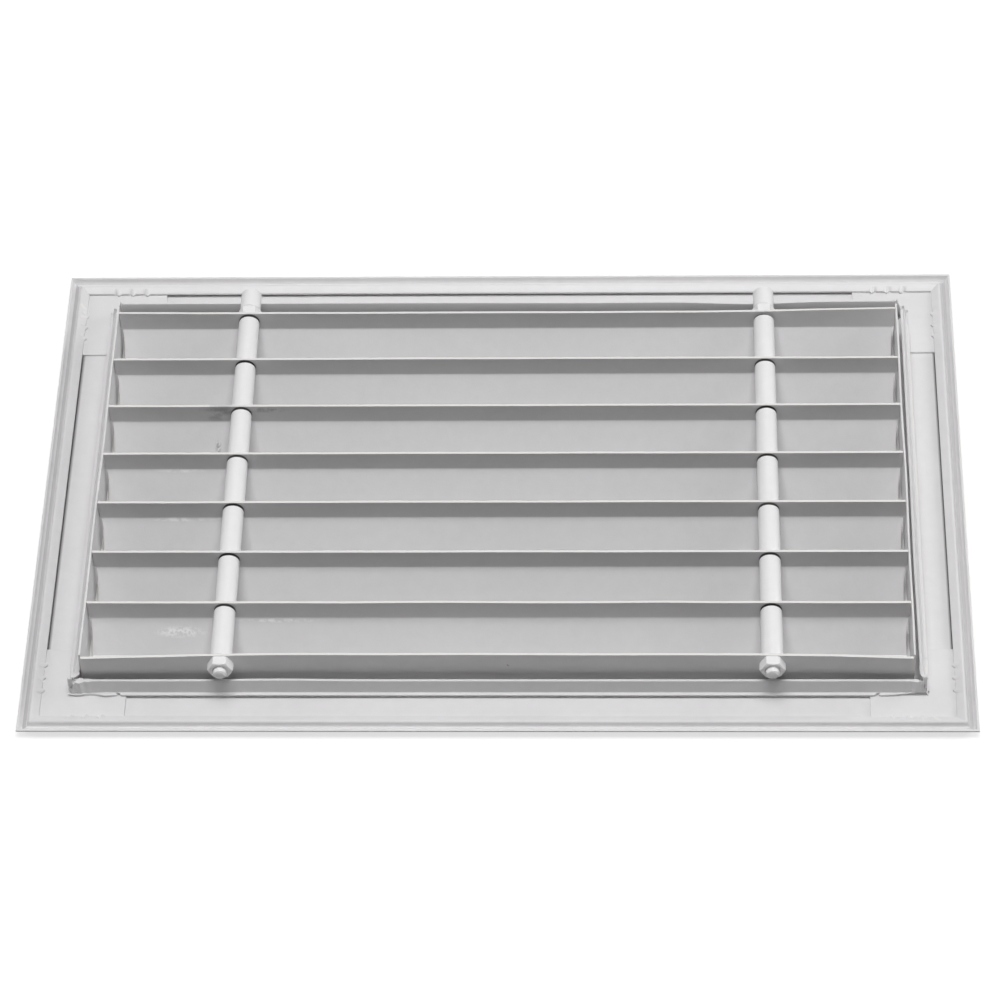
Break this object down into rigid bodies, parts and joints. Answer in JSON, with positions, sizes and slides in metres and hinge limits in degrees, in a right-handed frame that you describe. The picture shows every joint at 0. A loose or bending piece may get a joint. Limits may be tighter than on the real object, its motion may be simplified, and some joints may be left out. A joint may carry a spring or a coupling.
{
  "type": "louvred air grille",
  "caption": "Rectangular wall or duct grille: a flanged, mitred frame with a neck, holding fixed bent blades clamped on two tie rods.",
  "frame": {"origin": "centre of the grille's outline, in the plane of the room-side face", "axes": "+X along the blades, +Y towards the first blade, +Z from the face into the duct"},
  "size_m": [0.55, 0.35, 0.0321],
  "materials": {
    "frame_coat": "satin white powder coat on aluminium extrusion",
    "key_coat": "satin white powder coat on steel plate",
    "blade_coat": "satin white powder coat on aluminium sheet",
    "rod_coat": "satin white powder coat on rods, tubes and nuts"
  },
  "bodies": {
    "root": {"frame_bottom": "frame_coat", "frame_top": "frame_coat", "frame_left": "frame_coat", "frame_right": "frame_coat", "corner_key_top_left": "key_coat", "corner_key_top_right": "key_coat", "corner_key_bottom_left": "key_coat", "corner_key_bottom_right": "key_coat", "blade_1": "blade_coat", "blade_2": "blade_coat", "blade_3": "blade_coat", "blade_4": "blade_coat", "blade_5": "blade_coat", "blade_6": "blade_coat", "blade_7": "blade_coat", "closing_blade": "blade_coat", "side_plate_left": "blade_coat", "side_plate_right": "blade_coat", "spacer_left_1": "rod_coat", "spacer_left_2": "rod_coat", "spacer_left_3": "rod_coat", "spacer_left_4": "rod_coat", "spacer_left_5": "rod_coat", "spacer_left_6": "rod_coat", "spacer_left_7": "rod_coat", "spacer_right_1": "rod_coat", "spacer_right_2": "rod_coat", "spacer_right_3": "rod_coat", "spacer_right_4": "rod_coat", "spacer_right_5": "rod_coat", "spacer_right_6": "rod_coat", "spacer_right_7": "rod_coat", "collar_left": "rod_coat", "tie_rod_left": "rod_coat", "collar_right": "rod_coat", "tie_rod_right": "rod_coat", "nuts": "rod_coat"}
  },
  "joints": []
}
